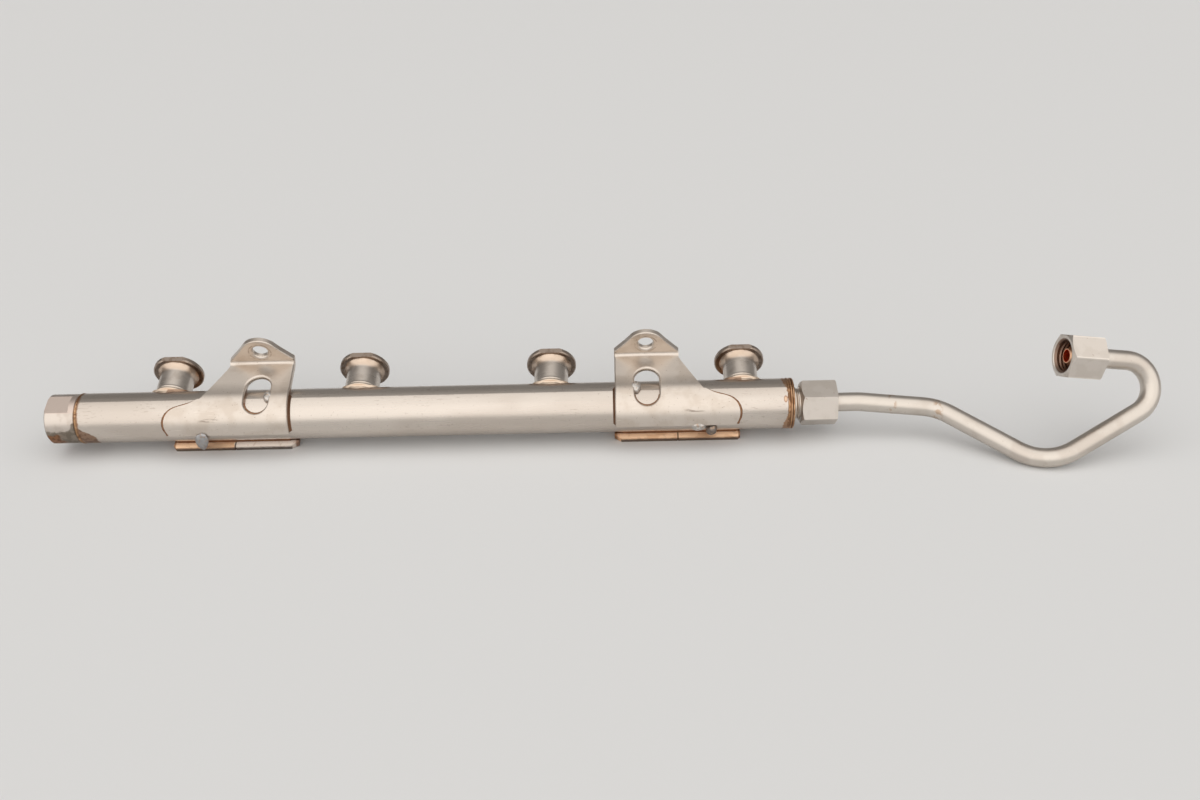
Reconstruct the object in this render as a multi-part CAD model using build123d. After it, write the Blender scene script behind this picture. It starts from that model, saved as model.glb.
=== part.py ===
from build123d import *
import os
from math import atan2, cos, degrees, hypot, pi, radians, sin, sqrt, tan

# Four-cylinder direct-injection fuel rail with its high-pressure delivery pipe.
# Every piece is drawn in the rail's own frame: X along the tube, Y along the
# injector cups, Z square to both, with the origin on the tube's axis midway
# between the two middle cups. It is then laid down on the floor by place().

# ---- sizes (mm, degrees) ----
injector_pitch = 82.0
rest_tilt = 21.5            # the cups point up by this much as the rail lies
origin_x, origin_y = 60.0, -3.1      # middle of the whole part's footprint
# tube
tube_od, tube_id = 21.3, 16.0
tube_left, tube_right = -157.9, 140.7
port_d = 3.2                # cross hole from the tube into each cup
# injector cups
stem_od, cup_bore, cup_foot_od = 14.6, 11.0, 16.2
flange_od, flange_t, flange_front = 21.4, 2.4, 23.2
flange_flat = 10.0          # width of the locating flat on the flange's rim
flare_high, flare_low = 1.5, -1.1    # ends of the foot's flare, above the tube's top
bell_len, bell_grow = 3.1, 1.35      # the stem widens under the flange
cup_braze_t, cup_braze_w = 1.0, 0.7
# end fittings
fitting_od, fitting_len, fitting_af, fitting_flat_len = tube_od - 0.3, 12.8, tube_od - 2.3, 10.2
port_minor_d, port_depth = 10.4, 10.5
spigot_len, end_braze_w, end_braze_proud = 8.0, 1.1, 0.12
outlet_flange_od, outlet_flange_t = tube_od + 0.2, 1.9
nipple_d, nipple_len, nipple_neck_d, nipple_neck_len = 12.3, 11.1, 13.8, 1.0
nipple_bore, seat_mouth_d = 4.4, 10.6
# union nuts
nut_af, nut_len, nut_chamfer = 17.0, 15.0, 1.3
nut_mouth_d, nut_thread_d, nut_thread_len = 14.6, 12.4, 9.0
nut_gap, pipe_fit = 3.2, 0.07        # flange to nut face; nut bore to pipe, radial
rail_nut_turn, pump_nut_turn = 25.6, 6.8       # how each hexagon happens to stand
# delivery pipe
pipe_od, pipe_id = 8.0, 5.0
tip_d, bead_d = 5.8, 11.0
rail_tip_in, pump_tip_in = 3.8, 1.8  # from each nut's mouth in to the pipe's tip
# corners of its route and the tip of its far end, as (out from the tube's right
# end, back, up from the tube's axis), level with the floor and not tilted
pipe_turns = [(31.3, 0.0, 0.0), (63.8, -3.0, -2.0), (102.7, -33.2, -13.3),
              (148.5, -16.8, 6.2), (145.1, -9.1, 21.0)]
pipe_bend_radii = [20.0, 20.0, 20.0, 11.4, 11.4]
pump_end = (110.8, -12.8, 26.5)
# brackets
sheet_t = 2.3
bolt_x = injector_pitch              # upper bolt holes, midway between the cups
shell_in, shell_out = 13.5, 38.4     # shell's reach inboard and outboard of the bolt
shell_low, shell_high = 10.0, 96.0   # degrees of the tube that the shell covers
ear_front, ear_bolt_z, ear_w, ear_r, ear_top = 18.5, 19.0, 28.0, 8.2, 6.9
bend_in = 1.5
bolt_hole_d, hole_round = 6.4, 1.35
window_w, window_low, window_high = 10.4, -3.6, 13.9
edge_round, window_round, ear_round = 0.8, 0.9, 0.5
lobe = [(1.0, -9.0), (0.0, -6.2), (0.5, -2.6), (2.9, 0.6), (6.0, 2.1), (11.0, 3.7),
        (14.2, 5.4), (16.6, 8.0)]    # shell's outboard edge: inboard of shell_out, up
foot_front, foot_in, foot_out = -9.0, 14.0, 39.7
foot_ear_x, foot_ear_w, foot_ear_top, foot_bend_in = 26.5, 26.4, 6.2, 1.0
seam_x, seam_w, seam_deep = 13.1, 0.4, 0.35

# ---- derived ----
tube_r = tube_od / 2
shell_r = tube_r + sheet_t
foot_low = tube_r + sheet_t
cup_x = [(i - 1.5) * injector_pitch for i in range(4)]
t = radians(rest_tilt)
rest_height = foot_low * cos(t) - foot_front * sin(t)
foot_ear_z = foot_ear_top - (rest_height + ear_front * sin(t)) / cos(t)   # ear just meets the floor
outlet_face = tube_right + end_braze_w + outlet_flange_t
rail_nut_x = outlet_face + nut_gap
pipe_turns = [(tube_right + x, y, z) for x, y, z in pipe_turns]
pump_end = (tube_right + pump_end[0], *pump_end[1:])
through = 3 * tube_od                # longer than any bracket, for cuts right through


def place(shape):
    """Lay a shape from the rail's frame down on the floor."""
    return Pos(-origin_x, -origin_y, rest_height) * Rot(rest_tilt, 0, 0) * shape


def save(name, shape):
    """Write one node, laid down on the floor."""
    export_step(place(shape), f"parts/{name}.step")


def turned(points):
    """Solid turned about X from (along, radius) points."""
    return revolve(make_face(Polyline(*points, close=True)), Axis.X)


def rod(axis_dir, radius, start, length, at=(0, 0, 0)):
    """Plain round bar along a direction."""
    origin = Vector(*at) + Vector(*axis_dir) * start
    return extrude(Plane(origin, z_dir=axis_dir) * Circle(radius), length)


# ---- rail body ----

def tube():
    """Drawn tube with one cross hole to each injector cup."""
    body = rod((1, 0, 0), tube_r, tube_left, tube_right - tube_left)
    body -= rod((1, 0, 0), tube_id / 2, tube_left - 1, tube_right - tube_left + 2)
    for x in cup_x:
        body -= rod((0, 1, 0), port_d / 2, 0, tube_od, (x, 0, 0))
    return body


def injector_cup(x):
    """Turned cup: flared foot, stem, bell shoulder and flange round the mouth."""
    s, b, f, end = stem_od / 2, cup_bore / 2, flange_od / 2, flange_front + flange_t
    foot, low = cup_foot_od / 2, tube_r - 4.6
    waist, bell = (tube_r + flare_low, tube_r + flare_high), flange_front - bell_len
    with BuildPart() as cup:
        with BuildSketch(Plane.XY):
            with BuildLine():
                Polyline((port_d / 2, low), (foot, low), (foot, waist[0]))
                TangentArc((s, waist[1]), (foot, waist[0]), tangent=(0, -1))
                Line((s, waist[1]), (s, bell))
                TangentArc((s, bell), (s + bell_grow, flange_front), tangent=(0, 1))
                Polyline((s + bell_grow, flange_front),
                         (f - 0.5, flange_front), (f, flange_front + 0.5),
                         (f, end - 0.5), (f - 0.5, end), (b + 2.2, end),
                         (b, end - 3.2), (b, tube_r + 1.9), (port_d / 2, tube_r + 1.0),
                         (port_d / 2, low))
            make_face()
        revolve(axis=Axis.Y)
    body = cup.part - rod((1, 0, 0), tube_r, -30, 60)
    flat = sqrt(f ** 2 - (flange_flat / 2) ** 2)
    body -= Pos(0, flange_front + flange_t / 2, flat + 5) * Box(20, flange_t + 0.02, 10)
    return Pos(x, 0, 0) * body


def saddle_ring(x):
    """Braze fillet that follows the saddle where a cup meets the tube."""
    foot = cup_foot_od / 2
    ring = Part()
    for grow, high in ((cup_braze_w, 0.55), (cup_braze_w * 0.5, cup_braze_t)):
        collar = rod((0, 1, 0), foot + grow, 3, 20) - rod((0, 1, 0), foot, 2, 22)
        skin = rod((1, 0, 0), tube_r + high, -12, 24) - rod((1, 0, 0), tube_r, -13, 26)
        ring += collar & skin
    return Pos(x, 0, 0) * ring


def end_braze(x):
    """Copper ring standing slightly proud between the tube and an end fitting."""
    r = tube_r + end_braze_proud
    w = end_braze_w
    return turned([(x, tube_id / 2 - 0.1), (x + w, tube_id / 2 - 0.1), (x + w, r - 0.25),
                   (x + w * 0.7, r), (x + w * 0.3, r), (x, r - 0.25)])


def sensor_fitting():
    """Left end fitting: threaded sensor port, two wrench flats, spigot in the tube."""
    right = tube_left - end_braze_w
    left, r, p = right - fitting_len, fitting_od / 2, port_minor_d / 2
    body = turned([(left, p + 0.9), (left, r - 0.6), (left + 0.6, r), (right - 0.4, r),
                   (right, r - 0.4), (right, tube_id / 2 - 0.1),
                   (right + spigot_len, tube_id / 2 - 0.1), (right + spigot_len, 2.0),
                   (left + port_depth + 1.8, 2.0), (left + port_depth, p),
                   (left + 0.9, p)])
    for side in (1, -1):
        cut = Box(fitting_flat_len, fitting_od, 10)
        body -= Pos(left + fitting_flat_len / 2, 0, side * (fitting_af / 2 + 5)) * cut
    return body


def outlet_fitting():
    """Right end plug: flange, threaded nipple and the conical seat for the pipe."""
    left, r = tube_right + end_braze_w, outlet_flange_od / 2
    face, neck, n = outlet_face, nipple_neck_d / 2, nipple_d / 2
    end = face + nipple_len
    seat = (seat_mouth_d - nipple_bore) / 2 / tan(radians(30))
    return turned([(left - spigot_len, nipple_bore / 2), (left - spigot_len, tube_id / 2 - 0.1),
                   (left, tube_id / 2 - 0.1), (left, r - 0.3), (left + 0.3, r),
                   (left + 0.8, r), (left + 0.95, r - 0.25), (left + 1.1, r),
                   (face - 0.3, r), (face, r - 0.3), (face, neck),
                   (face + nipple_neck_len, neck), (face + nipple_neck_len + 0.5, n),
                   (end, n), (end, seat_mouth_d / 2), (end - seat, nipple_bore / 2)])


# ---- union nuts and delivery pipe ----

def union_nut():
    """Hexagon union nut along +X from its open end, with the bore for the pipe."""
    r, c = nut_af / 2 / cos(pi / 6), nut_chamfer
    hexagon = extrude(Plane.YZ * RegularPolygon(r, 6, rotation=30), nut_len)
    bore = pipe_od / 2 + pipe_fit
    m, n = nut_mouth_d / 2, nut_thread_d / 2
    hull = turned([(0, m), (0, nut_af / 2 - 0.3), (c * 0.6 + 0.2, r + 0.05),
                   (nut_len - 0.4, r + 0.05), (nut_len, r - 0.5),
                   (nut_len, bore + 0.4), (nut_len - 0.4, bore),
                   (nut_thread_len + n - bore, bore), (nut_thread_len, n), (m - n, n)])
    return hexagon & hull


def formed_end():
    """Cone and shoulder pressed on a pipe end, tip at the origin, pipe along +X."""
    b, h = pipe_id / 2, bead_d / 2
    cone = (h - 0.3 - tip_d / 2) / tan(radians(30))
    return turned([(0, b), (0, tip_d / 2), (cone, h - 0.3), (cone + 0.6, h),
                   (cone + 1.5, h - 0.1), (cone + 3.1, pipe_od / 2),
                   (cone + 3.6, pipe_od / 2), (cone + 3.6, b)]), cone + 3.6


def aimed(shape, at, toward):
    """Turn a shape drawn along +X so that it points from one point to another."""
    d = Vector(*toward) - Vector(*at)
    turn = degrees(atan2(d.Y, d.X))
    lift = degrees(atan2(d.Z, hypot(d.X, d.Y)))
    return Pos(*at) * Rot(0, 0, turn) * Rot(0, -lift, 0) * shape


def bent_path(points, radii):
    """Wire through straight runs joined by round bends."""
    pts = [Vector(*p) for p in points]
    edges, here = [], pts[0]
    for i, radius in enumerate(radii, start=1):
        a = (pts[i - 1] - pts[i]).normalized()
        b = (pts[i + 1] - pts[i]).normalized()
        half = radians(a.get_angle(b)) / 2
        run, mid = radius / tan(half), (a + b).normalized()
        start, stop = pts[i] + a * run, pts[i] + b * run
        top = pts[i] + mid * (radius / sin(half) - radius)
        edges += [Line(here, start), ThreePointArc(start, top, stop)]
        here = stop
    return Wire(edges + [Line(here, pts[-1])])


def delivery_pipe():
    """Bent pipe with a formed end at both nuts, in the resting frame."""
    start = rail_nut_x + rail_tip_in
    first, length = formed_end()
    d = (Vector(*pipe_turns[-1]) - Vector(*pump_end)).normalized()
    points = [(start + length, 0, 0)] + pipe_turns + [Vector(*pump_end) + d * length]
    path = bent_path(points, pipe_bend_radii)
    ring = Plane((start + length, 0, 0), z_dir=(1, 0, 0)) * Circle(pipe_od / 2)
    hole = Plane((start + length, 0, 0), z_dir=(1, 0, 0)) * Circle(pipe_id / 2)
    body = sweep(ring, path=path) - sweep(hole, path=path)
    return body + Pos(start, 0, 0) * first + aimed(first, pump_end, pipe_turns[-1])


def pump_nut():
    """Loose nut on the pipe's far end, in the resting frame."""
    d = (Vector(*pump_end) - Vector(*pipe_turns[-1])).normalized()
    mouth = Vector(*pump_end) + d * pump_tip_in
    return aimed(Rot(pump_nut_turn, 0, 0) * union_nut(), tuple(mouth), pump_end)


# ---- brackets (right-hand one; the left is its mirror image) ----

def sheet(start, heading, runs, width):
    """Bent sheet along X from (y, z) runs: (length, 0) straight or (radius, degrees)."""
    sides = []
    for side in (sheet_t / 2, -sheet_t / 2):
        a = radians(heading)
        p = (start[0] - side * sin(a), start[1] + side * cos(a))
        pts = [("m", p)]
        for size, turn in runs:
            if turn == 0:
                p = (p[0] + size * cos(a), p[1] + size * sin(a))
                pts.append(("l", p))
            else:
                s = 1 if turn > 0 else -1
                r = size - s * side
                c = (p[0] - s * r * sin(a), p[1] + s * r * cos(a))
                m = a + radians(turn) / 2
                a += radians(turn)
                pts.append(("a", (c[0] + s * r * sin(m), c[1] - s * r * cos(m)),
                            (c[0] + s * r * sin(a), c[1] - s * r * cos(a))))
                p = pts[-1][2]
        sides.append(pts)
    edges = []
    for pts in sides:
        here = pts[0][1]
        for step in pts[1:]:
            edges.append(Line(here, step[1]) if step[0] == "l"
                         else ThreePointArc(here, step[1], step[2]))
            here = step[-1]
    edges.append(Line(sides[0][0][1], sides[1][0][1]))
    edges.append(Line(sides[0][-1][-1], sides[1][-1][-1]))
    section = make_face(edges)
    return Pos(width[0], 0, 0) * extrude(Plane.YZ * section, width[1] - width[0])


def ear_blank(x, z, top, w, up, base):
    """Prism along Y with the ear's outline: round top, straight flanks, square base."""
    k = 1 if up else -1
    a = radians(48)
    points = [(ear_r * sin(a), ear_r * cos(a) + top - ear_r), (8.9, 0.5), (9.3, 0.05),
              (w / 2 - 1.2, -4.0), (w / 2, -5.4)]
    right = [(x + px, z + k * pz) for px, pz in points] + [(x + w / 2, base)]
    left = [(2 * x - px, pz) for px, pz in reversed(right)]
    outline = make_face([Polyline(*right, *left),
                         ThreePointArc(left[-1], (x, z + k * top), right[0])])
    y = ear_front + sheet_t / 2
    plane = Plane((0, y, 0), x_dir=(1, 0, 0), z_dir=(0, -1, 0))
    return extrude(plane * outline, 12, both=True)


def beside_ear(x, low, high):
    """Slab round an ear's sheet, between two heights, to trim it down to the ear."""
    slab = Box(4 * shell_out, sheet_t + 6, high - low)
    return Pos(x, ear_front + sheet_t / 2 + 0.65, (low + high) / 2) * slab


def bolt_hole(x, z):
    """Drilled bolt hole through an ear."""
    return rod((0, 1, 0), bolt_hole_d / 2, ear_front - 3, sheet_t + 6, (x, 0, z))


def hole_edges(body, x, z):
    """Front rim of a bolt hole."""
    near = Vector(x, ear_front, z)
    rims = body.edges().filter_by(GeomType.CIRCLE)
    return [e for e in rims if abs(e.radius - bolt_hole_d / 2) < 0.01
            and (e.arc_center - near).length < 0.1]


def shown_edges(body, keep):
    """Edges on the shell's outer side and the ear's front whose points all pass a test."""
    found = []
    for e in body.edges():
        pts = [e.position_at(k) for k in (0.05, 0.5, 0.95)]
        if all(keep(p) and p.Y < ear_front + 0.02
               and (abs(hypot(p.Y, p.Z) - shell_r) < 0.05 if p.Y < 1 else p.Z > shell_r - 0.8)
               for p in pts):
            found.append(e)
    return found


def bracket_shell():
    """Upper bracket: shell on the tube, windowed web and upper bolt ear."""
    mid = tube_r + sheet_t / 2
    over, ease = shell_high - 90, 60.0
    a = radians(shell_low)
    web_z = mid - ease * (1 - cos(radians(over))) - mid * (1 - cos(radians(over)))
    web_y = (mid + ease) * sin(radians(over))
    bend = bend_in + sheet_t / 2
    flat = ear_front + sheet_t / 2 - bend - web_y
    rise = ear_bolt_z + ear_top + 3 - web_z - bend
    runs = [(mid, -(shell_high - shell_low)), (ease, over), (flat, 0), (bend, 90), (rise, 0)]
    body = sheet((-mid * cos(a), mid * sin(a)), 90 - shell_low, runs,
                 (-shell_in, shell_out + 2))
    body = fillet(shown_edges(body, lambda p: abs(p.X + shell_in) < 0.01), edge_round)
    # outline of the blank, cut square to the shell
    low = -shell_r * cos(a) * sin(radians(60)) + shell_r * sin(a) * 0.5 - 1
    look = Plane((0, 0, 0), x_dir=(1, 0, 0), z_dir=(0, -cos(radians(60)), sin(radians(60))))
    i, h, top = -shell_in - 5, ear_w / 2, through
    edge = [(shell_out - x, y) for x, y in lobe]
    side = make_face([
        Polyline((i, top), (i, low), (edge[0][0] - 1.2, low), edge[0]),
        Spline(*edge, tangents=[(0.6, 1), (-0.62, 1)]),
        Polyline(edge[-1], (h + 0.8, ear_bolt_z - 0.1), (h, ear_bolt_z + 1.6), (h, top),
                 (i, top))])
    body &= extrude(look * side, through, both=True)
    ear = ear_blank(0, ear_bolt_z, ear_top, ear_w, True, -through)
    body -= beside_ear(0, tube_r - 0.65, through) - ear
    # window through shell and web
    tilt = radians(70)
    look = Plane((0, 0, 0), x_dir=(1, 0, 0), z_dir=(0, -cos(tilt), sin(tilt)))
    long = window_high - window_low
    slot = SlotOverall(long, window_w, rotation=90)
    body -= extrude(look * Pos(0, (window_high + window_low) / 2) * slot, through)
    body -= bolt_hole(0, ear_bolt_z)
    body = fillet(shown_edges(body, lambda p: abs(p.X) < window_w / 2 + 0.01
                              and p.Y < ear_front - 2), window_round)
    body = fillet(shown_edges(body, lambda p: abs(p.Y - ear_front) < 0.01
                              and p.Z > shell_r + 1.35
                              and hypot(p.X, p.Z - ear_bolt_z) > bolt_hole_d * 0.66), ear_round)
    return fillet(hole_edges(body, 0, ear_bolt_z), hole_round)


def bracket_foot():
    """Lower bracket: plate brazed under the tube, turned down to the lower bolt ear."""
    mid = -(tube_r + sheet_t / 2)
    bend = foot_bend_in + sheet_t / 2
    flat = ear_front + sheet_t / 2 - bend - foot_front
    drop = -foot_ear_z + foot_ear_top + 3 + mid - bend
    body = sheet((foot_front, mid), 0, [(flat, 0), (bend, -90), (drop, 0)],
                 (-foot_in - 1, foot_out + 1))
    i, o, e = -foot_in, foot_out, foot_ear_x - foot_ear_w / 2
    back, rear = foot_front + 14, ear_front - 5.5
    plan = make_face(Polyline((i, foot_front + 2), (i + 3.2, foot_front), (o - 1, foot_front),
                              (o, foot_front + 1), (o, through), (e, through), (e, rear),
                              (e - 3, rear - 4), (i + 3, back), (i, back - 3), close=True))
    body &= extrude(plan, through, both=True)
    ear = ear_blank(foot_ear_x, foot_ear_z, foot_ear_top, foot_ear_w, False, through)
    body -= beside_ear(foot_ear_x, -through, -shell_r - foot_bend_in) - ear
    body -= bolt_hole(foot_ear_x, foot_ear_z)
    seam = Box(seam_w, 9, seam_deep * 2)
    body -= Pos(seam_x, foot_front + 4.4, -tube_r) * seam
    return body - Pos(seam_x, foot_front, mid) * Box(seam_w, seam_deep * 2, 2 * sheet_t)


def shell_braze():
    """Thin copper fillet along the shell's inboard end."""
    ring = turned([(-shell_in - 0.9, tube_r), (-shell_in, tube_r), (-shell_in, tube_r + 1.2)])
    keep = []
    for k in range(9):
        angle = radians(180 - shell_low - (shell_high - shell_low) * k / 8)
        keep.append((60 * cos(angle), 60 * sin(angle)))
    wedge = extrude(Plane.YZ * make_face(Polyline((0, 0), *keep, close=True)), 60, both=True)
    return ring & wedge


def foot_braze():
    """Copper fillets between the tube's underside and the plate, front and rear."""
    front = [(-6.3, -tube_r), (-0.6, -tube_r), (-0.6, -8), (-5.3, -8)]
    body = Part()
    for k in (1, -1):
        face = make_face(Polyline(*[(k * y, z) for y, z in front], close=True))
        rear_in = -foot_in + 3.5
        width = foot_out - 1.5 - rear_in
        body += Pos(rear_in, 0, 0) * extrude(Plane.YZ * face, width)
    return body - rod((1, 0, 0), tube_r, -60, 120)


def on_tube(angle, r):
    """Point at an angle above the tube's front, at a distance from its axis."""
    a = radians(angle)
    return -r * cos(a), r * sin(a)


def bead(x, r, high, low, stand):
    """Round-ended weld bead lying on the tube between two angles."""
    y0, z0 = on_tube(high, tube_r + stand)
    y1, z1 = on_tube(low, tube_r + stand)
    d = Vector(0, y1 - y0, z1 - z0)
    body = Pos(x, y0, z0) * Sphere(r) + Pos(x, y1, z1) * Sphere(r)
    body += extrude(Plane((x, y0, z0), z_dir=d) * Circle(r), d.length)
    return body - rod((1, 0, 0), tube_r, -60, 120)


def window_tack(shell):
    """Tack weld in the window's inboard edge."""
    return bead(-window_w / 2 + 0.9, 1.6, 97, 83, 1.0) - shell


def foot_tack(shell, foot, beads):
    """Weld beads between the shell's lower edge and the plate."""
    body = Part()
    for x, r, high, low in beads:
        body += bead(x, r, high, low, 0.9) - shell - foot
    return body


def both_sides(name, shape):
    """Write the right-hand piece and its mirror image."""
    right = Pos(bolt_x, 0, 0) * shape
    save(f"{name}_right", right)
    save(f"{name}_left", mirror(right, about=Plane.YZ))


# ---- build ----
os.makedirs("parts", exist_ok=True)

save("rail_tube", tube())
for n, x in enumerate(cup_x, start=1):
    save(f"injector_cup_{n}", injector_cup(x))
    save(f"cup_braze_{n}", saddle_ring(x))
save("sensor_fitting", sensor_fitting())
save("sensor_end_braze", end_braze(tube_left - end_braze_w))
save("outlet_fitting", outlet_fitting())
save("outlet_end_braze", end_braze(tube_right))
nut = Pos(rail_nut_x, 0, 0) * Rot(rail_nut_turn, 0, 0) * union_nut()
save("rail_union_nut", nut)

upper, lower = bracket_shell(), bracket_foot()
both_sides("bracket_shell", upper)
both_sides("bracket_foot", lower)
both_sides("shell_braze", shell_braze())
both_sides("foot_braze", foot_braze())
both_sides("window_tack", window_tack(upper))
right_beads = Pos(bolt_x, 0, 0) * foot_tack(upper, lower, [(21.0, 2.0, 6, 4), (26.6, 2.4, -12, -28)])
left_beads = Pos(bolt_x, 0, 0) * foot_tack(upper, lower, [(27.0, 2.7, 2, -42)])
save("foot_tack_right", right_beads)
save("foot_tack_left", mirror(left_beads, about=Plane.YZ))

# the pipe and its loose nut are drawn as they lie, not tilted with the rail
lift = Pos(-origin_x, -origin_y, rest_height)
export_step(lift * delivery_pipe(), "parts/delivery_pipe.step")
export_step(lift * pump_nut(), "parts/pump_union_nut.step")
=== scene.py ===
from math import acos, asin, cos, degrees, pi, radians, sin

import bmesh
import bpy
from mathutils import Matrix, Vector, noise


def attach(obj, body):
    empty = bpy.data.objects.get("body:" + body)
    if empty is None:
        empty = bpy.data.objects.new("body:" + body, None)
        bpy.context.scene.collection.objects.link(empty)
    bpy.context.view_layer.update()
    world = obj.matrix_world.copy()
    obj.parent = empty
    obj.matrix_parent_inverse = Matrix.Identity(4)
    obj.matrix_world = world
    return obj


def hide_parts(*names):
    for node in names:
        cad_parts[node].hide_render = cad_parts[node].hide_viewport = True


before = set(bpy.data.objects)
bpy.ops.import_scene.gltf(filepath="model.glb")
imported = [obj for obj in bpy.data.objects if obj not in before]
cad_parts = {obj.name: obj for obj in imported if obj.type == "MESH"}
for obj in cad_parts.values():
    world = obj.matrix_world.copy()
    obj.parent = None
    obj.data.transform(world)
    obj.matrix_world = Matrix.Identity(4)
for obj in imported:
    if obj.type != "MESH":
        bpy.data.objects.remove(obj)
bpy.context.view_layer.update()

# ---- places and sizes on the rail, in mm and degrees ----
# Rail coordinates: X along the tube, Y along the injector cups, Z square to both,
# origin on the tube's axis midway between the two middle cups.
REST_TILT = 21.5             # the cups point up by this much
FOOTPRINT_X, FOOTPRINT_Y = 60.0, -3.1        # middle of the whole part's footprint
AXIS_HEIGHT = 15.347         # of the tube above the floor
PITCH = 82.0                 # from cup to cup; the upper bolt holes are midway between
TUBE_R = 10.65
TUBE_LEFT, TUBE_RIGHT = -157.9, 140.7
FLANGE_FACE = TUBE_RIGHT + 3.0       # outer face of the outlet fitting's flange
RAIL_NUT_END = 170.0         # beyond the nut on the rail's outlet, short of the loose one
SHELL_R = 12.95              # outside of the bracket shells
SHELL_REACH = 38.4           # of a shell, outboard of its bolt hole
BOLT_Z = 19.0
WINDOW_R, WINDOW_UP = 5.15, 1.6      # lower round end of the webs' windows, and its middle
WINDOW_FACES, LOBE_FACES = 70, 60    # angle above the front that each is cut square to
PLATE_MIDDLE, PLATE_HALF = 95.0, 27.0        # lower plates, on both sides of the middle
THREAD_PITCH = 1.5
LINE_OFF = 0.12              # middle of a thin line of braze, off the tube's surface
# tip of the delivery pipe at its loose nut and the bend before it, level with the floor
PUMP_TIP, PUMP_BEND = Vector((251.5, -12.8, 26.5)), Vector((285.8, -9.1, 21.0))
PUMP_TIP_IN = 1.8            # how far the tip lies inside the nut's mouth

LEVEL_TO_ROW = Matrix.Translation((-FOOTPRINT_X, -FOOTPRINT_Y, AXIS_HEIGHT))
RAIL_TO_ROW = LEVEL_TO_ROW @ Matrix.Rotation(radians(REST_TILT), 4, "X")


def row(x, y, z):
    """A point of the rail, in metres in the frame of the whole part."""
    return RAIL_TO_ROW @ Vector((x, y, z)) / 1000


def round_tube(angle, radius):
    """(y, z) at an angle above the tube's front and a distance from its axis."""
    return -radius * cos(radians(angle)), radius * sin(radians(angle))


def tint(code):
    """sRGB hex to the linear colour that a shader takes."""
    parts = [int(code[i:i + 2], 16) / 255 for i in (1, 3, 5)]
    return tuple(c / 12.92 if c <= 0.04045 else ((c + 0.055) / 1.055) ** 2.4
                 for c in parts) + (1.0,)


def put(tree, kind, inputs=None, **settings):
    """Add one node; an input that is a socket is linked, any other is set."""
    made = tree.nodes.new("ShaderNode" + kind)
    for key, value in settings.items():
        setattr(made, key, value)
    for key, value in (inputs or {}).items():
        if isinstance(value, bpy.types.NodeSocket):
            tree.links.new(value, made.inputs[key])
        else:
            made.inputs[key].default_value = value
    return made


def smooth_step(tree, value, low, high, to_low=0.0, to_high=1.0):
    """A smooth step of a value; low may be the larger of the two."""
    return put(tree, "MapRange", {
        "Value": value, "From Min": low, "From Max": high,
        "To Min": to_low, "To Max": to_high},
        interpolation_type="SMOOTHSTEP").outputs[0]


def add_object(name, data):
    """A new object in the scene."""
    made = bpy.data.objects.new(name, data)
    bpy.context.scene.collection.objects.link(made)
    return made


# ---- finishes ----

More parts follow.
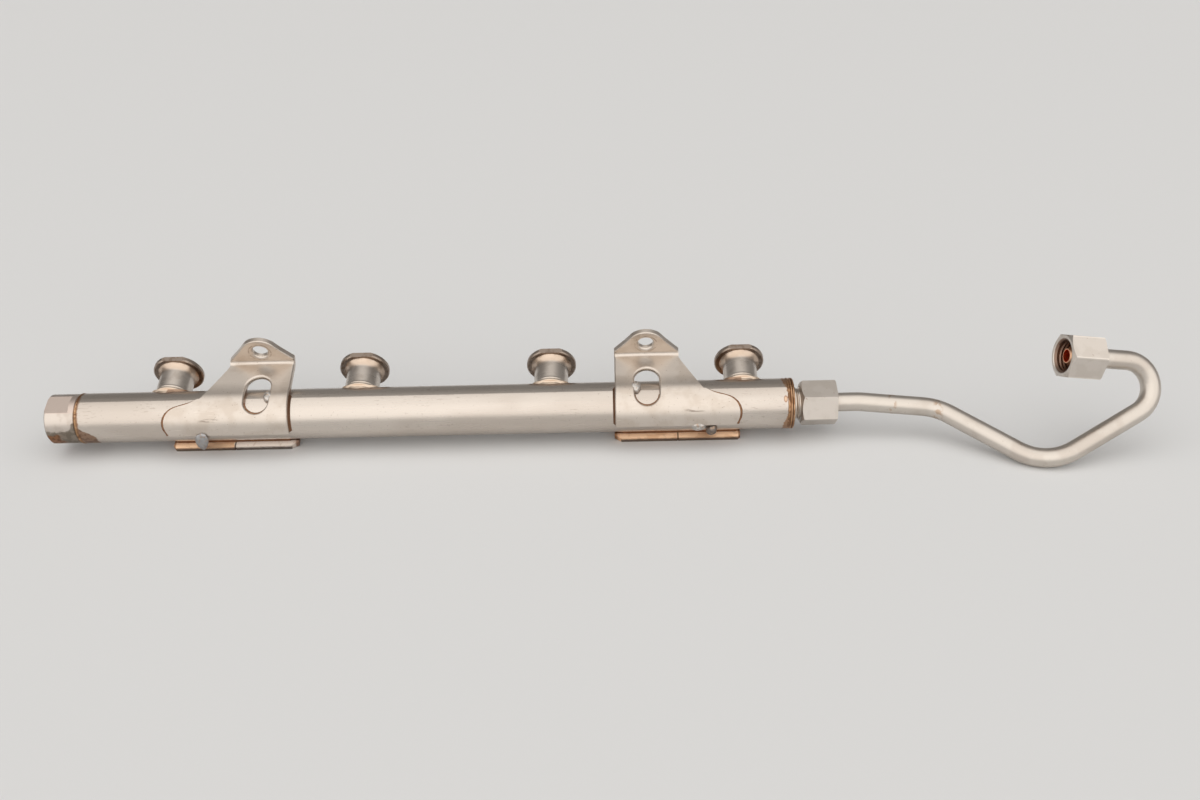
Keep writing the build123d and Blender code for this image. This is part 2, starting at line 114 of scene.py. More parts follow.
class Finish:
    """A metal finish that is built up from patterns in rail millimetres."""

    def __init__(self, name, colour, roughness):
        self.material = bpy.data.materials.new(name)
        self.material.use_nodes = True
        self.tree = self.material.node_tree
        self.tree.nodes.clear()
        out = put(self.tree, "OutputMaterial")
        self.shader = put(self.tree, "BsdfPrincipled", {"Metallic": 1.0})
        self.tree.links.new(self.shader.outputs[0], out.inputs[0])
        # patterns are laid out in rail millimetres, whatever piece they are seen on
        where = put(self.tree, "TexCoord").outputs["Object"]
        back = RAIL_TO_ROW.inverted().translation
        self.mm = put(self.tree, "Mapping", {
            "Vector": where, "Location": back, "Scale": (1000, 1000, 1000),
            "Rotation": (radians(-REST_TILT), 0, 0)}).outputs[0]
        axes = put(self.tree, "SeparateXYZ", {0: self.mm})
        self.x, self.y, self.z = axes.outputs
        self.colour, self.roughness, self.height = tint(colour), roughness, None
        self.aside = self.maths("ABSOLUTE", self.x)
        self.radius = self.length(self.y, self.z)
        self.angle = self.maths("DEGREES", self.maths(
            "ARCTAN2", self.z, self.maths("MULTIPLY", self.y, -1.0)))

    def maths(self, operation, a, b=0.0):
        """One step of arithmetic on sockets or numbers."""
        return put(self.tree, "Math", {0: a, 1: b}, operation=operation).outputs[0]

    def length(self, a, b):
        """Straight distance from two distances at a right angle."""
        return self.maths("SQRT", self.maths("ADD", self.maths("POWER", a, 2.0),
                                             self.maths("POWER", b, 2.0)))

    def clamp(self, value, low, high):
        """A value held between low and high."""
        return self.maths("MINIMUM", self.maths("MAXIMUM", value, low), high)

    def grain(self, size, stretch=(1, 1, 1), detail=2.0, seed=0.0):
        """Noise from 0 to 1 whose grains are size mm across, times stretch."""
        moved = put(self.tree, "Mapping", {
            "Vector": self.mm, "Location": (seed, seed * 0.7, -seed),
            "Scale": [1 / (size * s) for s in stretch]}).outputs[0]
        return put(self.tree, "TexNoise", {"Vector": moved, "Scale": 1.0,
                                           "Detail": detail}).outputs[0]

    def waver(self, value, size, reach, seed):
        """A value that wanders by about reach to both sides, in grains of size mm."""
        off = self.maths("SUBTRACT", self.grain(size, detail=3.0, seed=seed), 0.5)
        # the noise seldom strays from its middle by more than a fifth
        return self.maths("ADD", value, self.maths("MULTIPLY", off, 5.0 * reach))

    def past_tip(self):
        """Distance in mm along the loose nut's axis, from the pipe's tip outwards."""
        tip, along = pump_axis()
        arm = put(self.tree, "VectorMath", {0: self.mm, 1: tip}, operation="SUBTRACT")
        return put(self.tree, "VectorMath", {0: arm.outputs[0], 1: along.normalized()},
                   operation="DOT_PRODUCT").outputs["Value"]

    def off_line(self, point, along):
        """Distance in mm from a straight line in rail coordinates."""
        arm = put(self.tree, "VectorMath", {0: self.mm, 1: point}, operation="SUBTRACT")
        turned = put(self.tree, "VectorMath", {0: arm.outputs[0], 1: along.normalized()},
                     operation="CROSS_PRODUCT")
        return put(self.tree, "VectorMath", {0: turned.outputs[0]},
                   operation="LENGTH").outputs["Value"]

    def ramp(self, value, low, high, to_low=0.0, to_high=1.0):
        """Smooth step from to_low where a value is low to to_high where it is high."""
        return smooth_step(self.tree, value, low, high, to_low, to_high)

    def below(self, value, low, high):
        """1 below low and 0 above high, with a smooth step between."""
        return self.ramp(value, low, high, 1.0, 0.0)

    def near(self, value, centre, half, soft):
        """1 where a value is within half of a centre, fading over soft."""
        off = self.maths("ABSOLUTE", self.maths("SUBTRACT", value, centre))
        return self.below(off, half, half + soft)

    def arc(self, angle):
        """Distance in mm round the tube from an angle above its front."""
        off = self.maths("SUBTRACT", self.angle, angle)
        return self.maths("MULTIPLY", off, radians(TUBE_R))

    def oval(self, across, up, half_across, half_up):
        """0 in the middle of an oval and 1 on its rim."""
        return self.length(self.maths("DIVIDE", across, half_across),
                           self.maths("DIVIDE", up, half_up))

    def both(self, *masks):
        """Where every one of the masks is."""
        made = masks[0]
        for mask in masks[1:]:
            made = self.maths("MULTIPLY", made, mask)
        return made

    def either(self, *masks):
        """Where any one of the masks is."""
        made = masks[0]
        for mask in masks[1:]:
            made = self.maths("MAXIMUM", made, mask)
        return made

    def stain(self, mask, colour, strength=1.0, roughness=None):
        """Lay a colour, and a roughness, over the finish where the mask is."""
        share = self.maths("MULTIPLY", mask, strength)
        self.colour = put(self.tree, "Mix", {
            0: share, 6: self.colour, 7: tint(colour)}, data_type="RGBA").outputs[2]
        if roughness is not None:
            self.roughness = put(self.tree, "Mix", {
                0: share, 2: self.roughness, 3: roughness}).outputs[0]

    def rougher(self, pattern, amount):
        """Roughness that goes up and down with a 0 to 1 pattern."""
        swing = self.maths("MULTIPLY", self.maths("SUBTRACT", pattern, 0.5), amount)
        self.roughness = self.maths("ADD", self.roughness, swing)

    def relief(self, pattern, depth):
        """Raise the surface by depth mm times a pattern."""
        share = self.maths("MULTIPLY", pattern, depth / 1000)
        self.height = share if self.height is None else self.maths("ADD", self.height, share)

    def shoulder(self):
        """Round the foot of the cups over into a shoulder that faces the tube."""
        self.relief(self.clamp(self.y, 7.5, 11.4), 0.45)

    def done(self):
        """Join the patterns to the shader and give the finished material."""
        for value, name in ((self.colour, "Base Color"), (self.roughness, "Roughness")):
            if isinstance(value, bpy.types.NodeSocket):
                self.tree.links.new(value, self.shader.inputs[name])
            else:
                self.shader.inputs[name].default_value = value
        if self.height is not None:
            bump = put(self.tree, "Bump", {"Height": self.height, "Strength": 1.0,
                                           "Distance": 1.0})
            self.tree.links.new(bump.outputs[0], self.shader.inputs["Normal"])
        return self.material


def around(finish):
    """Distance from the nearest injector cup's axis, in mm."""
    shifted = finish.maths("ADD", finish.x, 2 * PITCH)
    off = finish.maths("SUBTRACT", PITCH / 2, finish.maths("PINGPONG", shifted, PITCH / 2))
    return finish.length(off, finish.z)


def drawn_stainless_tube():
    """Cold-drawn stainless tube, pickled after furnace brazing: a soft neutral satin
    with faint lines along it, brown beside each braze, and a brown run from the
    sensor end that widens downwards."""
    f = Finish("drawn_stainless_tube", "#CDC4BB", 0.29)
    smudge = f.grain(22, (2.5, 1, 1), 3)
    f.stain(f.ramp(smudge, 0.46, 0.62), "#BDB2A8", 0.55)
    lines = f.grain(0.5, (40, 1, 1), 2)      # drawing lines, drawn coarser than real
    f.rougher(lines, 0.12)
    f.relief(lines, 0.005)
    specks = f.grain(0.9, detail=1.5, seed=4)
    f.stain(f.ramp(specks, 0.68, 0.73), "#85766A", 0.3)
    # a few short scuffs where it was handled
    scuff = f.both(f.ramp(f.grain(0.7, (5, 1, 1), 2, seed=41), 0.62, 0.68),
                   f.ramp(f.grain(16, detail=1, seed=42), 0.52, 0.60))
    f.stain(scuff, "#9C8E82", 0.4, 0.42)
    # tinge round the cups' feet
    cup = f.below(f.waver(around(f), 2.6, 0.7, seed=9), 8.6, 10.2)
    f.stain(f.both(cup, f.ramp(f.y, 3.0, 6.0)), "#A2795A", 0.7, 0.36)
    # left end: a brown edge, and the run down its front
    from_left = f.maths("SUBTRACT", f.x, TUBE_LEFT)
    edge = f.waver(from_left, 1.6, 0.35, seed=10)
    f.stain(f.below(edge, 0.3, 0.9), "#8A6850", 0.75, 0.42)
    reach = f.ramp(f.z, 5.6, -0.2, 0.2, 6.9)
    inside = f.maths("SUBTRACT", f.waver(from_left, 1.5, 0.4, seed=43), reach)
    run = f.both(f.below(inside, -0.4, 0.4), f.below(f.y, -1.0, 1.0))
    f.stain(run, "#8A6A52", 0.85, 0.46)
    f.stain(f.both(run, f.ramp(f.grain(2.4, detail=3, seed=55), 0.50, 0.58)), "#6A4E3D", 0.6)
    # right end: ragged brown above and below, and one drop of braze that set alone
    from_right = f.maths("SUBTRACT", TUBE_RIGHT, f.x)
    turned = f.maths("ABSOLUTE", f.maths("SUBTRACT", f.angle, 54.0))
    wide = f.ramp(turned, 20.0, 65.0, 0.0, 1.9)
    inside = f.maths("SUBTRACT", f.waver(from_right, 1.3, 0.5, seed=44), wide)
    f.stain(f.below(inside, -0.3, 0.3), "#9C7350", 0.85, 0.42)
    drop = f.oval(f.maths("SUBTRACT", from_right, 1.0), f.arc(61.0), 0.8, 1.5)
    f.stain(f.below(drop, 0.9, 1.1), "#9A6E50", 0.75, 0.40)
    f.stain(f.below(drop, 0.45, 0.75), "#D9BCA0", 0.8, 0.34)
    # the tube between the shell's lower edge and the plate is painted brown: painted shade in
    # the crease between the parts, with a painted reflection of the coppery plate
    foot = f.maths("ABSOLUTE", f.maths("SUBTRACT", f.aside, PLATE_MIDDLE))
    low = f.below(f.waver(f.z, 1.4, 0.5, seed=45), -5.6, -4.2)
    f.stain(f.both(f.below(foot, 26.6, 27.8), low), "#7E5B44", 0.8, 0.46)
    return f.done()


def turned_stainless_cup():
    """Turned stainless, furnace brazed: satin stem with fine turning rings, copper
    tinge on the bell and at the foot, a pale painted highlight low on the stem, painted shade
    deep in the bore, and a flange painted grey-brown, as oxide and as painted shade of its
    underside."""
    f = Finish("turned_stainless_cup", "#CDC4BB", 0.29)
    smudge = f.grain(5, detail=3, seed=2)
    f.stain(f.ramp(smudge, 0.46, 0.62), "#B1A69B", 0.5)
    rings = f.grain(0.45, (60, 1, 60), 1)    # turning rings, drawn coarser than real
    f.rougher(rings, 0.08)
    f.relief(rings, 0.002)
    radius = around(f)
    edge = f.waver(radius, 1.8, 0.3, seed=7)
    bell = f.both(f.ramp(f.y, 19.6, 21.4), f.ramp(edge, 9.4, 8.6))
    f.stain(bell, "#C9AD93", 0.55)
    # the flange painted grey-brown: oxide, and painted shade for its dark underside
    flange = f.both(f.ramp(edge, 8.3, 9.1), f.ramp(f.y, 22.4, 22.9))
    f.stain(flange, "#A08F82", 0.85, 0.34)
    patch = f.ramp(f.grain(2.2, detail=3, seed=46), 0.50, 0.60)
    f.stain(f.both(flange, patch), "#7F6B5C", 0.5, 0.42)
    rim = f.both(f.ramp(radius, 10.2, 10.5), f.ramp(f.y, 22.9, 23.3))
    f.stain(rim, "#A4978B", 0.5, 0.34)
    # pale band low on the stem: painted highlight
    foot = f.below(f.waver(f.y, 1.6, 0.2, seed=47), 9.2, 12.2)
    f.stain(foot, "#DCC7B0", 0.55)
    f.stain(f.below(f.y, 8.6, 9.6), "#B48A66", 0.5)
    # darker deep in the bore: painted shade
    f.stain(f.below(radius, 5.4, 5.9), "#6B5D50", 0.6, 0.5)
    f.shoulder()
    return f.done()


def formed_stainless_sheet():
    """Pressed 2.3 mm stainless sheet, tumbled and furnace brazed: pale satin with a
    fine orange peel, brown where it met braze and as painted shade on its cut edges and window
    walls, grazed low on its front, and a thin ring of painted shade round the bolt hole."""
    f = Finish("formed_stainless_sheet", "#CFC5BB", 0.33)
    smudge = f.grain(9, detail=4, seed=3)
    f.stain(f.ramp(smudge, 0.46, 0.62), "#BFB2A5", 0.55)
    peel = f.grain(0.8, detail=2, seed=12)   # pressed sheet's orange peel
    f.relief(peel, 0.010)
    f.rougher(peel, 0.14)
    specks = f.grain(0.7, detail=1, seed=5)
    f.stain(f.ramp(specks, 0.70, 0.75), "#8B7967", 0.5)
    # the cut edges and window walls towards the tube, brown: braze that ran along them, with
    # painted shade
    f.stain(f.below(f.radius, SHELL_R - 1.1, SHELL_R - 0.5), "#8A6348", 0.75, 0.46)
    # graze across the front of the shell, and a thin darker ring round the bolt hole: painted
    # shade at the edge of its coined rim
    graze = f.both(f.near(f.angle, 41.5, 1.8, 2.5), f.near(f.aside, 101.5, 2.0, 3.0))
    streak = f.ramp(f.grain(1.0, (5, 1, 1), 3, seed=8), 0.46, 0.56)
    f.stain(f.both(graze, streak), "#94877C", 0.8, 0.48)
    from_hole = f.oval(f.maths("SUBTRACT", f.aside, PITCH), f.maths("SUBTRACT", f.z, BOLT_Z), 1, 1)
    patchy = f.ramp(f.grain(2.0, detail=2, seed=56), 0.42, 0.56)
    f.stain(f.both(f.near(from_hole, 4.7, 0.12, 0.3), patchy), "#9C8C7E", 0.7, 0.42)
    scratch = f.ramp(f.grain(0.35, (14, 1, 1), 2, seed=15), 0.66, 0.71)
    f.stain(scratch, "#E9E1D8", 0.35)
    return f.done()


def copper_flashed_plate():
    """Plate of the same sheet, wetted by copper braze: pale coppery where it flowed,
    bright steel inboard of the left plate's seam, and painted shade in dark grey-brown on its
    front cut edge."""
    f = Finish("copper_flashed_plate", "#E8DED4", 0.38)
    smudge = f.grain(5, detail=3, seed=6)
    wet = f.waver(f.x, 2.4, 0.8, seed=1)
    flowed = f.either(f.below(wet, -95.6, -94.6), f.ramp(wet, 60.0, 62.0))
    f.stain(flowed, "#EFC8A3", 0.9, 0.40)
    f.stain(f.both(flowed, f.ramp(smudge, 0.50, 0.60)), "#CB9C76", 0.45)
    f.stain(f.ramp(f.grain(2.2, detail=3, seed=48), 0.58, 0.66), "#B3967E", 0.3)
    # the cut edge in painted shade, and the top rolled over towards it
    cut = f.both(f.below(f.waver(f.z, 2.0, 0.15, seed=49), -11.6, -11.1),
                 f.below(f.y, -8.9, -8.5))
    f.stain(cut, "#6B615A", 0.9, 0.50)
    ends = f.either(f.ramp(f.aside, 69.6, 68.8), f.ramp(f.aside, 120.6, 121.2))
    f.stain(f.both(ends, f.below(f.y, -5.0, -4.0)), "#8A6046", 0.8, 0.46)
    slope = f.clamp(f.maths("ADD", f.y, 9.0), 0.0, 3.0)
    f.relief(slope, 0.5)
    peel = f.grain(0.8, detail=2, seed=13)
    f.relief(peel, 0.010)
    f.rougher(peel, 0.14)
    seam = f.near(f.aside, 95.1, 0.2, 0.25)
    f.stain(f.both(seam, f.below(f.y, -5.0, -4.0)), "#5A4334", 0.8, 0.6)
    return f.done()


def copper_braze():
    """Copper that ran and set in the furnace: brown to dull orange with brighter spots,
    pale at the cups' feet as a painted highlight, and darker along the shells and plates as
    painted shade."""
    f = Finish("copper_braze", "#A4805F", 0.40)
    patch = f.grain(3.0, detail=3, seed=11)
    f.stain(f.ramp(patch, 0.47, 0.57), "#7A5A44", 0.8, 0.5)
    f.stain(f.ramp(f.grain(1.6, detail=2, seed=14), 0.56, 0.63), "#C9A282", 0.65, 0.3)
    # pale at the cups' feet: painted highlight
    cup = f.both(f.ramp(around(f), 9.9, 9.5), f.ramp(f.y, 4.0, 5.0))
    f.stain(cup, "#DDCBB8", 0.9, 0.34)
    # darker under the shells' lower edges, along the plates' feet and low at the shells'
    # inboard edges: painted shade in the creases between the parts
    thin = f.both(f.near(f.aside, PLATE_MIDDLE, PLATE_HALF, 0.5), f.ramp(f.z, -8.0, -7.4),
                  f.ramp(f.radius, 11.9, 11.6))
    f.stain(thin, "#86634C", 0.7, 0.46)
    foot = f.both(f.near(f.aside, PLATE_MIDDLE, PLATE_HALF, 0.5), f.ramp(f.z, -8.0, -8.6))
    f.stain(foot, "#6E4C3A", 0.8, 0.48)
    inboard = f.both(f.near(f.aside, 67.9, 0.9, 0.5), f.ramp(f.z, -9.0, -8.4))
    f.stain(inboard, "#6E5140", 0.75, 0.46)
    f.relief(f.grain(1.1, detail=3, seed=16), 0.05)
    f.shoulder()
    return f.done()


def weld_bead():
    """Weld left as it set: pale grey skin with darker oxide and coppery spots, a duller
    drip on the left plate, and one drop at the right plate burnt dark."""
    f = Finish("weld_bead", "#C9C4BF", 0.46)
    patch = f.grain(1.6, detail=3, seed=17)
    f.stain(f.ramp(patch, 0.48, 0.58), "#9A9793", 0.6, 0.5)
    seam = f.both(f.ramp(f.radius, TUBE_R + 0.5, TUBE_R + 0.1), f.ramp(f.angle, 60.0, 61.0))
    f.stain(seam, "#8A6850", 0.8, 0.5)
    drip = f.below(f.x, -102.0, -101.0)
    f.stain(drip, "#9C9DA0", 0.7, 0.42)
    burnt = f.ramp(f.x, 105.9, 106.5)
    f.stain(burnt, "#6F635B", 0.85, 0.42)
    f.stain(f.ramp(f.grain(1.2, detail=2, seed=18), 0.57, 0.64), "#A98D74", 0.6, 0.36)
    f.relief(f.grain(0.9, detail=3, seed=19), 0.05)
    return f.done()


def plated_nut():
    """Hexagon steel bar, machined and zinc-nickel plated: pale grey with a soft sheen,
    faint tool marks along the flats, corners rubbed bright, a few pinpricks of rust and
    painted shade as a dull brown bore in the loose nut."""
    f = Finish("plated_nut", "#D3CBC3", 0.40)
    smudge = f.grain(6, detail=4, seed=21)
    f.stain(f.ramp(smudge, 0.47, 0.60), "#C5BCB2", 0.4)
    lines = f.grain(0.4, (18, 1, 1), 2, seed=22)
    f.rougher(lines, 0.14)
    f.relief(lines, 0.008)
    f.stain(f.ramp(f.grain(1.3, detail=2, seed=23), 0.71, 0.76), "#8A5A38", 0.6, 0.6)
    off = f.off_line(*pump_axis())
    on_rail = f.below(f.x, RAIL_NUT_END, RAIL_NUT_END + 1)
    corner = f.either(f.ramp(off, 9.5, 9.7), f.both(f.ramp(f.radius, 9.5, 9.7), on_rail))
    f.stain(f.both(corner, f.below(off, 30.0, 31.0)), "#F0E8DF", 0.6, 0.3)
    # painted shade: the loose nut's bore dull brown
    f.stain(f.both(f.below(off, 6.9, 7.1), f.ramp(f.past_tip(), -11.5, -10.5)),
            "#7B5B48", 0.85, 0.40)
    return f.done()


def pump_axis():
    """Point and direction of the loose nut's axis in rail coordinates, mouth first."""
    to_rail = Matrix.Rotation(radians(-REST_TILT), 4, "X")
    return to_rail @ PUMP_TIP, to_rail @ (PUMP_TIP - PUMP_BEND)


def drawn_delivery_pipe():
    """Cold-drawn stainless pipe, bent on a mandrel: an even satin, a few brown marks,
    and a copper-red formed end inside the loose nut."""
    f = Finish("drawn_delivery_pipe", "#CDC5BC", 0.35)
    smudge = f.grain(12, detail=3, seed=25)
    f.stain(f.ramp(smudge, 0.47, 0.60), "#BDB2A8", 0.5)
    spots = f.grain(1.1, detail=2, seed=26)
    f.stain(f.ramp(spots, 0.69, 0.74), "#9A8C7D", 0.4)
    marks = f.either(f.near(f.x, 185.5, 0.5, 1.6), f.near(f.x, 204.0, 0.5, 1.8))
    f.stain(f.both(marks, f.ramp(f.grain(2.2, seed=29), 0.48, 0.60)), "#A68463", 0.6, 0.4)
    off = f.off_line(*pump_axis())
    formed = f.both(f.ramp(f.past_tip(), -7.0, -6.0), f.below(off, 8.0, 9.0))
    f.stain(formed, "#DDB18E", 0.9, 0.32)
    f.stain(f.both(formed, f.below(off, 2.55, 2.7)), "#EE6A38", 0.95, 0.40)
    return f.done()


def rusted_fitting():
    """Turned end fitting with milled flats: matt pinkish grey above, its lower front
    stained olive grey towards the ring and rusted orange-brown at its outer end."""
    f = Finish("rusted_fitting", "#CDC3BA", 0.33)
    smudge = f.grain(5, detail=3, seed=31)
    f.stain(f.ramp(smudge, 0.46, 0.62), "#B5A89D", 0.5)
    f.stain(f.ramp(f.z, 9.3, 9.45), "#CDBCB2", 0.7, 0.46)
    rings = f.grain(0.45, (1, 60, 60), 1, seed=32)
    f.relief(rings, 0.005)
    ring_x = TUBE_LEFT - 1.1
    to_ring = f.maths("SUBTRACT", ring_x, f.x)
    top = f.waver(f.ramp(to_ring, 0.5, 3.2, 6.8, 3.3), 1.8, 0.7, seed=33)
    front = f.below(f.y, 2.0, 4.0)
    lower = f.both(f.below(f.maths("SUBTRACT", f.z, top), -0.5, 0.5), front)
    f.stain(lower, "#80766A", 0.85, 0.50)
    shade = f.ramp(f.grain(3.0, detail=3, seed=50), 0.46, 0.58)
    f.stain(f.both(lower, shade), "#63594C", 0.5, 0.55)
    outer = f.ramp(f.waver(to_ring, 2.2, 1.2, seed=51), 5.6, 8.2)
    rust = f.both(lower, outer, f.ramp(f.waver(f.z, 2.0, 0.8, seed=52), 2.4, 0.8))
    f.stain(rust, "#94694A", 0.85, 0.58)
    grit = f.ramp(f.grain(1.4, detail=3, seed=53), 0.48, 0.60)
    f.stain(f.both(rust, grit), "#614434", 0.7, 0.66)
    f.relief(f.both(rust, f.grain(0.7, detail=3, seed=54)), 0.05)
    return f.done()


def outlet_steel():
    """Turned outlet fitting: its grooved flange copper-brown, its thread bright."""
    f = Finish("outlet_steel", "#CBC0B5", 0.29)
    patch = f.grain(3.2, detail=3, seed=35)
    flange = f.below(f.x, FLANGE_FACE - 0.2, FLANGE_FACE + 0.1)
    f.stain(flange, "#B58D69", 0.9, 0.38)
    f.stain(f.both(flange, f.ramp(patch, 0.47, 0.58)), "#8C6547", 0.75, 0.46)
    groove = f.both(f.near(f.x, TUBE_RIGHT + 2.05, 0.12, 0.2), f.ramp(f.x, 0.0, 1.0))
    f.stain(groove, "#5E3F2B", 0.8, 0.55)
    return f.done()


# ---- added pieces ----

def mesh_piece(name, bm, material, body, smooth_below):
    """Turn mesh code in row metres into a piece that rides on a body. Edges sharper
    than smooth_below degrees stay sharp."""
    bmesh.ops.recalc_face_normals(bm, faces=bm.faces)
    mesh = bpy.data.meshes.new(name)
    bm.to_mesh(mesh)
    bm.free()
    mesh.polygons.foreach_set("use_smooth", [True] * len(mesh.polygons))
    mesh.set_sharp_from_angle(angle=radians(smooth_below))
    mesh.materials.append(material)
    piece = add_object(name, mesh)
    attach(piece, body)
    return piece


def thread(name, root, crest, length, to_row, material, body):
    """One helical thread along +X of its own frame, root to crest radius in mm. The
    crest of an inside thread is the smaller of the two."""
    # the profile: (share of the pitch, radius)
    section = [(0.00, root), (0.12, root), (0.40, crest), (0.56, crest), (0.84, root),
               (1.0, root)]
    steps = 64                       # per turn
    run_out = steps * 0.4            # the thread grows from and fades into the root
    last = int((length - THREAD_PITCH) / THREAD_PITCH * steps)
    bm = bmesh.new()
    rows = []
    for k in range(last + 1):
        a = 2 * pi * k / steps
        grown = min(1.0, k / run_out, (last - k) / run_out)
        ring = []
        for share, radius in section:
            r = root + (radius - root) * grown
            x = THREAD_PITCH * (share + k / steps)
            ring.append(bm.verts.new(to_row @ Vector((x, r * cos(a), r * sin(a))) / 1000))
        rows.append(ring)
    for one, two in zip(rows, rows[1:]):
        for j in range(len(section) - 1):
            bm.faces.new((one[j], one[j + 1], two[j + 1], two[j]))
    # one turn's end is the next turn's start, and both ends have no height
    bmesh.ops.remove_doubles(bm, verts=bm.verts, dist=2e-6)
    mesh_piece(name, bm, material, body, smooth_below=50)


def weld_drops(name, drops):
    """Drops of weld in place of a CAD node. A drop is its x, its angle above the front,
    its middle's distance from the tube's axis, half its width, length and thickness,
    its taper and how far its top leans along the tube."""
    bm = bmesh.new()
    # the name's length sets where in the noise a drop is cut from
    for seed, (x, angle, middle, half, taper, lean) in enumerate(drops, start=len(name)):
        ball = bmesh.ops.create_icosphere(bm, subdivisions=4, radius=1)
        for v in ball["verts"]:
            d = v.co.normalized()
            wave = 1 + 0.10 * noise.noise(d * 1.7 + Vector((seed, 0, 0)))
            wave += 0.06 * noise.noise(d * 4.5 + Vector((seed, 9, 0)))
            up = angle + degrees(d.z * half[1] * wave / (TUBE_R + 1))
            out = middle + d.y * half[2] * wave
            along = x + lean * d.z + d.x * half[0] * (1 + taper * d.z) * wave
            v.co = row(along, *round_tube(up, out))
    piece = mesh_piece(f"{name}_drops", bm, weld, "rail", smooth_below=80)
    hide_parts(name)


def braze_line(name, points, radius, material):
    """A thin run of braze along points in rail mm, each with its share of the radius."""
    curve = bpy.data.curves.new(name, "CURVE")
    curve.dimensions = "3D"
    curve.bevel_depth = radius / 1000
    curve.bevel_resolution = 3
    curve.use_fill_caps = True
    spline = curve.splines.new("POLY")
    spline.points.add(len(points) - 1)
    for target, (x, y, z, share) in zip(spline.points, points):
        target.co = (*row(x, y, z), 1)
        target.radius = share
    curve.materials.append(material)
    piece = add_object(name, curve)
    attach(piece, "rail")


def lobe_points(side):
    """Where the shell's outboard edge meets the tube."""
    # (inboard of the shell's reach, up) as the lobe is cut
    outline = [(1.0, -9.6), (1.0, -9.0), (0.2, -7.4), (0.0, -6.2), (0.0, -4.4), (0.5, -2.6),
               (1.5, -0.8), (2.9, 0.6), (4.4, 1.5), (6.0, 2.1), (8.5, 2.9), (11.0, 3.7),
               (13.2, 4.8)]
    shift = 0.5 if side > 0 else -1.0        # of the whole line along the rail
    points = []
    for inboard, up in outline:
        over = 0.45 if inboard > 2 else 0.0  # past the lobe's corner the line lies higher
        angle = degrees(acos(-(up + over) / (TUBE_R + 1.1))) - (90 - LOBE_FACES)
        y, z = round_tube(angle, TUBE_R + LINE_OFF)
        share = 1.0 if up < 0 else 0.6
        points.append((side * (PITCH + SHELL_REACH - inboard) + shift, y, z, share))
    return points


def window_points(side):
    """Where the lower half of the window's wall meets the tube."""
    points = []
    for k in range(19):
        a = radians(180 + 10 * k)
        up = WINDOW_UP + WINDOW_R * sin(a)
        angle = WINDOW_FACES + degrees(asin(up / (TUBE_R + 0.9)))
        y, z = round_tube(angle, TUBE_R + LINE_OFF)
        points.append((side * (PITCH + WINDOW_R * cos(a)), y, z, 0.6 + 0.5 * abs(sin(a))))
    return points


tube_steel = drawn_stainless_tube()
cup_steel = turned_stainless_cup()
sheet_steel = formed_stainless_sheet()
plate_steel = copper_flashed_plate()
braze = copper_braze()
weld = weld_bead()
nut_steel = plated_nut()
pipe_steel = drawn_delivery_pipe()
fitting_steel = rusted_fitting()
outlet = outlet_steel()

finish_of = {"rail_tube": tube_steel, "sensor_fitting": fitting_steel, "outlet_fitting": outlet,
             "rail_union_nut": nut_steel, "pump_union_nut": nut_steel,
             "delivery_pipe": pipe_steel}
for name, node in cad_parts.items():
    if "braze" in name:
        finish = braze
    elif "tack" in name:
        finish = weld
    elif name.startswith("injector_cup"):
        finish = cup_steel
    elif name.startswith("bracket_shell"):
        finish = sheet_steel
    elif name.startswith("bracket_foot"):
        finish = plate_steel
    else:
        finish = finish_of[name]
    node.data.materials.clear()
    node.data.materials.append(finish)

# threads: the nipple's shows between flange and nut, the others in their mouths
thread("nipple_thread", root=6.1, crest=6.95, length=4.6,
       to_row=RAIL_TO_ROW @ Matrix.Translation((FLANGE_FACE + 0.7, 0, 0)),
       material=outlet, body="rail")
thread("sensor_port_thread", root=5.25, crest=4.75, length=9.0,
       to_row=RAIL_TO_ROW @ Matrix.Translation((-171.0, 0, 0)),
       material=fitting_steel, body="rail")
away = (PUMP_TIP - PUMP_BEND).normalized()
bottom = PUMP_TIP + away * (PUMP_TIP_IN - 8.8)       # 8.8 mm deep from the nut's mouth
along = away.to_track_quat("X", "Z").to_matrix().to_4x4()
thread("pump_nut_thread", root=6.25, crest=5.75, length=8.2,
       to_row=LEVEL_TO_ROW @ Matrix.Translation(bottom) @ along,
       material=nut_steel, body="loose_nut")

# welds: two big drops on the right plate and one drip on the left, one in each window
weld_drops("foot_tack_left", [(-106.4, -17, 13.3, (2.2, 7.0, 1.3), 0.85, 1.6)])
weld_drops("foot_tack_right", [(103.1, 5, 12.4, (3.1, 2.0, 1.4), 0.0, 0.0),
                               (108.8, -9, 11.9, (2.3, 3.0, 2.2), 0.1, 0.4)])
weld_drops("window_tack_left", [(-77.2, 92, 11.4, (2.1, 3.0, 1.9), 0.1, 0.0)])
weld_drops("window_tack_right", [(77.2, 97, 11.4, (2.3, 3.2, 1.9), 0.1, 0.0)])

# braze that shows along the shells' edges and in their windows
for side, word in ((-1, "left"), (1, "right")):
    braze_line(f"lobe_braze_{word}", lobe_points(side), radius=0.72, material=braze)
    braze_line(f"window_braze_{word}", window_points(side), radius=0.60, material=braze)

# ---- floor, light and camera ----

def plain(name, colour, roughness):
    """Matt ground for the floor: no pattern, so that the part stands clear."""
    made = bpy.data.materials.new(name)
    made.use_nodes = True
    shader = made.node_tree.nodes["Principled BSDF"]
    shader.inputs["Base Color"].default_value = tint(colour)
    shader.inputs["Roughness"].default_value = roughness
    return made


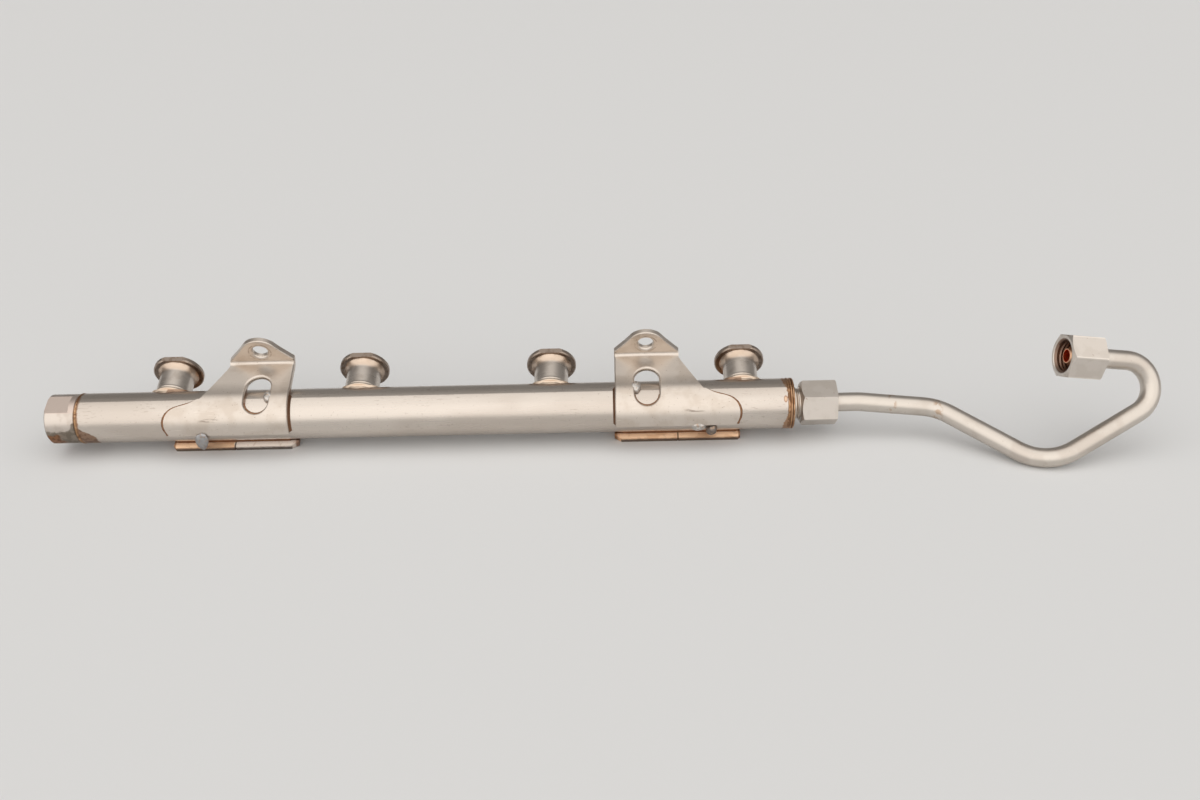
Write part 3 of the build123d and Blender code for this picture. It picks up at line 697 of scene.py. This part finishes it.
floor_mesh = bpy.data.meshes.new("floor")
floor_mesh.from_pydata([(-4, -4, 0), (4, -4, 0), (4, 4, 0), (-4, 4, 0)], [], [(0, 1, 2, 3)])
floor_mesh.materials.append(plain("matt_floor", "#DADBDC", 0.8))
floor = add_object("floor", floor_mesh)


def soft_light(name, place, size, power, colour):
    """Square soft light aimed at the middle of the part."""
    lamp = bpy.data.lights.new(name, "AREA")
    lamp.shape, lamp.size, lamp.energy = "SQUARE", size, power
    lamp.color = tint(colour)[:3]
    holder = add_object(name, lamp)
    holder.location = place
    holder.rotation_mode = "QUATERNION"
    holder.rotation_quaternion = (-Vector(place)).to_track_quat("-Z", "Y")


def studio_world():
    """Sky that is brightest above the front, shown to the camera as an even grey."""
    world = bpy.data.worlds.new("studio")
    bpy.context.scene.world = world
    world.use_nodes = True
    sky = world.node_tree
    sky.nodes.clear()
    direction = put(sky, "TexCoord").outputs["Generated"]
    towards = put(sky, "VectorMath", {0: direction, 1: (0, -0.84, 0.54)},
                  operation="DOT_PRODUCT").outputs["Value"]
    open_sky = smooth_step(sky, towards, 0.0, 0.5)
    lit = put(sky, "Mix", {0: open_sky, 6: tint("#7C7A78"), 7: tint("#FFFCF8")},
              data_type="RGBA").outputs[2]
    seen = put(sky, "LightPath").outputs["Is Camera Ray"]
    shown = put(sky, "Mix", {0: seen, 6: lit, 7: tint("#BCBDBD")},
                data_type="RGBA").outputs[2]
    glow = put(sky, "Background", {"Color": shown, "Strength": 1.39}).outputs[0]
    sky.links.new(glow, put(sky, "OutputWorld").inputs[0])


def main_camera(image_width, focal_pixels):
    """The camera that the part is seen from, in row metres and degrees."""
    camera = bpy.data.cameras.new("camera")
    camera.sensor_width = 36
    camera.lens = focal_pixels / image_width * camera.sensor_width
    camera.clip_start, camera.clip_end = 0.01, 20
    eye = add_object("camera", camera)
    eye.location = (0.00862, -0.45452, 0.27561)
    eye.rotation_euler = [radians(a) for a in (60.697, 1.43, 0.01)]
    bpy.context.scene.camera = eye


soft_light("front_soft_light", (-0.25, -1.5, 1.1), size=1.6, power=1.2, colour="#FFFCF8")
studio_world()
main_camera(image_width=1200, focal_pixels=1235.9)
bpy.context.scene.view_settings.view_transform = "Standard"
